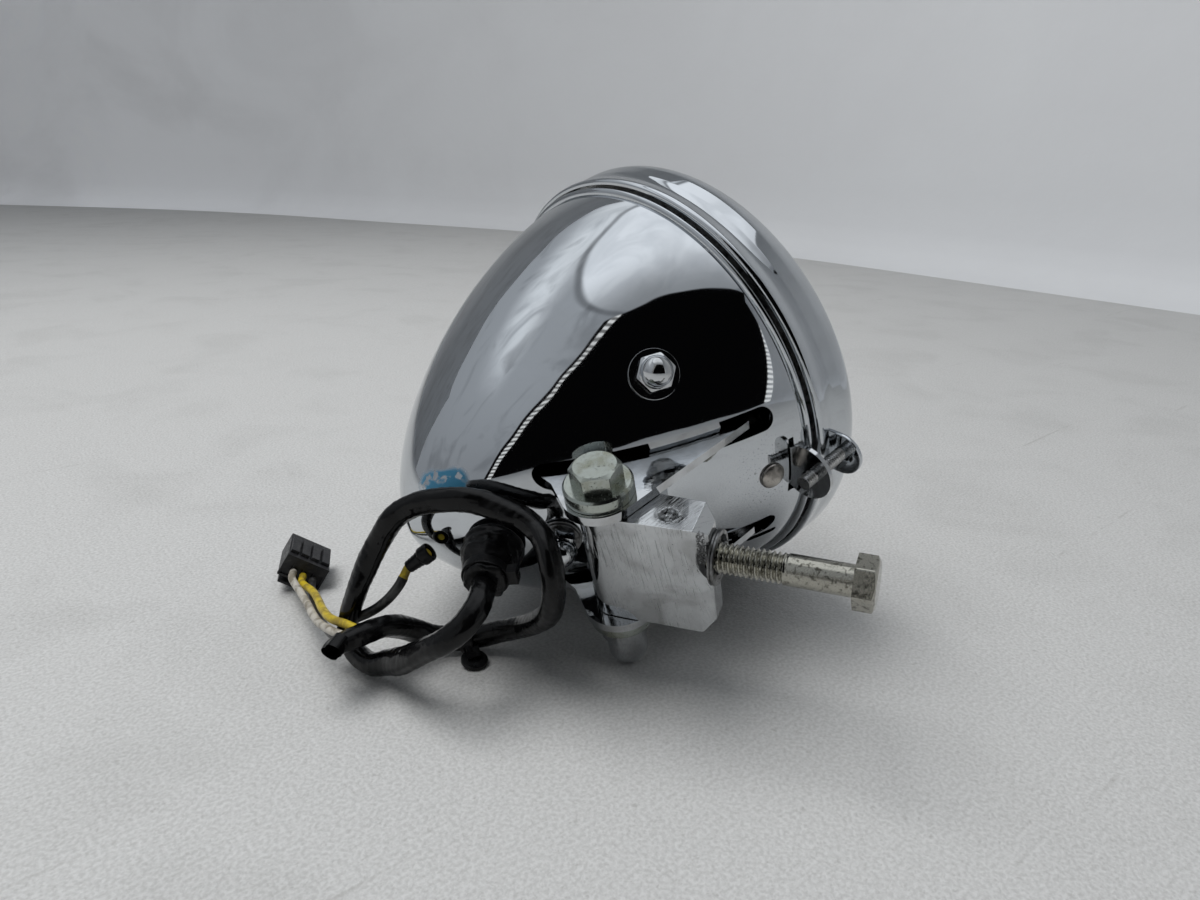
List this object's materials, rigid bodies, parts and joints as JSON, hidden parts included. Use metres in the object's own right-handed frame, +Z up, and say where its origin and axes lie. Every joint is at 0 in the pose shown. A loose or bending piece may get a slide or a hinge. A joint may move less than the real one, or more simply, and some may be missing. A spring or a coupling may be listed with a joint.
{
  "type": "motorcycle headlight",
  "caption": "Round chromed motorcycle headlight with a swivelling bottom block, a long mounting bolt and a sleeved wiring lead.",
  "frame": {"origin": "on the table, under the middle of the resting lamp's box without its wiring lead", "axes": "+Z up from the table; +X along the table the way the lens faces; +Y toward the lamp's mounted top, away from its block"},
  "size_m": [0.1913, 0.2201, 0.1632],
  "materials": {
    "bulb_glass": "clear glass on a nickel base",
    "cast_chrome": "polished, with scratches and dents",
    "chrome": "polished",
    "dark_steel": "dark plated",
    "glass": "clear, domed",
    "mirror": "vacuum coated",
    "nylon": "black nylon",
    "rubber": "matt",
    "sheet_steel": "plain",
    "sleeve": "soft black sleeve with a sheen",
    "white_cover": "soiled white wire cover",
    "yellow_cover": "yellow wire cover",
    "zinc": "bright zinc with a faint yellow cast"
  },
  "bodies": {
    "lamp": {"bucket": "chrome", "trim_ring": "chrome", "clamp_bracket": "sheet_steel", "clamp_rivet": "sheet_steel", "clamp_screw": "zinc", "side_nuts": "chrome", "side_washers": "chrome", "side_studs": "sheet_steel", "rear_nut": "chrome", "rear_washers": "dark_steel", "rear_stud": "sheet_steel", "mount_bracket": "chrome", "pivot_bolt": "zinc", "pivot_washers": "zinc", "pivot_nut": "chrome", "lens": "glass", "gasket": "rubber", "retaining_ring": "sheet_steel", "ring_screws": "zinc", "carrier_ring": "sheet_steel", "reflector": "mirror", "bulb": "bulb_glass", "bulb_clip": "sheet_steel", "bulb_boot": "rubber", "bulb_socket": "nylon", "inner_lead": "sleeve", "harness_boot": "rubber", "boot_tie": "nylon", "harness_sleeve": "sleeve", "push_tie": "nylon", "branch_wire": "sleeve", "branch_end": "yellow_cover", "bullet_boot": "rubber", "white_wire": "white_cover", "yellow_wire": "yellow_cover", "black_wire": "sleeve", "connector": "nylon"},
    "mount": {"mount_block": "cast_chrome", "lock_washer": "dark_steel", "mount_bolt": "zinc"}
  },
  "joints": [
    {"name": "block_tilt", "type": "hinge", "parent": "lamp", "child": "mount", "pos_m": [-0.04048, -0.03323, 0.04851], "axis": [0.3086, 0.1019, -0.9457], "range_deg": [-14, 14]}
  ]
}
